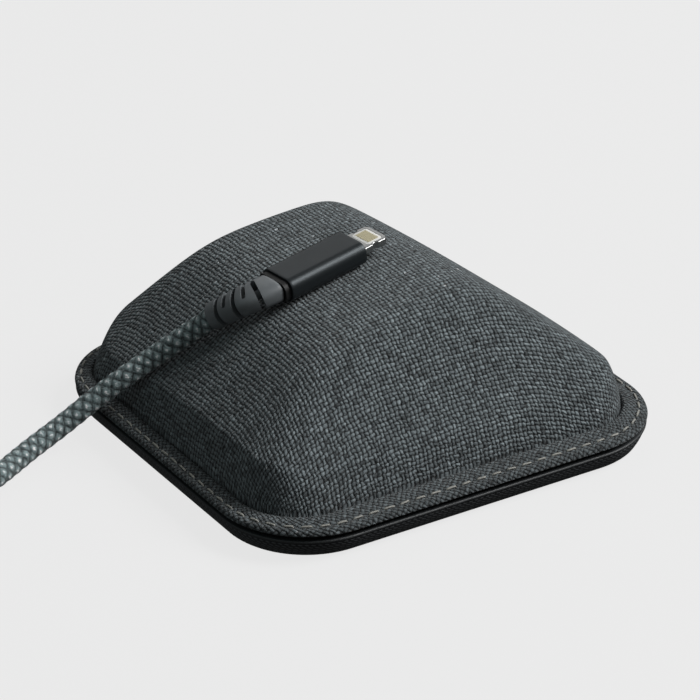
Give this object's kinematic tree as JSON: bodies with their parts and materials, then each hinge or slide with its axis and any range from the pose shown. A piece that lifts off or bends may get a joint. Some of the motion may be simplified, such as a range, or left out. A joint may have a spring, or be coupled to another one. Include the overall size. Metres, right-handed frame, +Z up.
{
  "type": "magnetic cable rest",
  "caption": "Weighted, fabric-covered magnetic rest with a low mound on a stitched hem, and the braided phone lead that lies on it.",
  "frame": {"origin": "centre of the rest's underside, on the surface it stands on", "axes": "+Z up, +X to the right along the front edge, so the lead leaves towards -X; the front is -Y"},
  "size_m": [0.1874, 0.1138, 0.038],
  "materials": {
    "canvas": "plain-weave heathered canvas",
    "topstitch": "twisted thread",
    "recess_strip": "matt",
    "welt": "matt",
    "base_skin": "pinhole-textured grip",
    "board": "matt",
    "ballast_steel": "raw plate",
    "foam": "soft filling, stated as fabric for its low density",
    "tray_plastic": "matt",
    "keeper_steel": "zinc-plated",
    "magnet_plating": "nickel-plated",
    "shell_metal": "black satin anodised",
    "tab_steel": "satin",
    "insulator": "satin",
    "contact_gold": "gold-plated",
    "circuit_board": "lacquered",
    "inner_plastic": "matt",
    "boot_plastic": "matt soft plastic",
    "joint_ring": "matt",
    "braid": "braided sleeve",
    "tie": "woven strap",
    "tongue_plastic": "matt"
  },
  "bodies": {
    "pad": {"top_cover": "canvas", "hem_topstitch": "topstitch", "rim_binding": "recess_strip", "rim_welt": "welt", "base_cover": "base_skin", "base_board": "board", "ballast_plate": "ballast_steel", "foam_core": "foam", "magnet_tray": "tray_plastic", "keeper_plate": "keeper_steel", "magnet_1": "magnet_plating", "magnet_2": "magnet_plating", "magnet_3": "magnet_plating", "magnet_4": "magnet_plating", "magnet_5": "magnet_plating", "magnet_6": "magnet_plating"},
    "lead": {"plug_shell": "shell_metal", "plug_tab": "tab_steel", "contact_block": "insulator", "plug_contacts": "contact_gold", "plug_board": "circuit_board", "plug_inner_mould": "inner_plastic", "plug_joint_ring": "joint_ring", "plug_boot": "boot_plastic", "lead_cord": "braid", "lead_coil": "braid", "cable_tie": "tie", "lead_tail": "braid", "usb_boot": "boot_plastic", "usb_inner_mould": "inner_plastic", "usb_shell": "shell_metal", "usb_shroud": "tab_steel", "usb_tongue": "tongue_plastic", "usb_contacts": "contact_gold"}
  },
  "joints": [
    {"name": "lead_lift", "type": "slide", "parent": "pad", "child": "lead", "axis": [0, 0, 1], "range_m": [0, 0.05]}
  ]
}
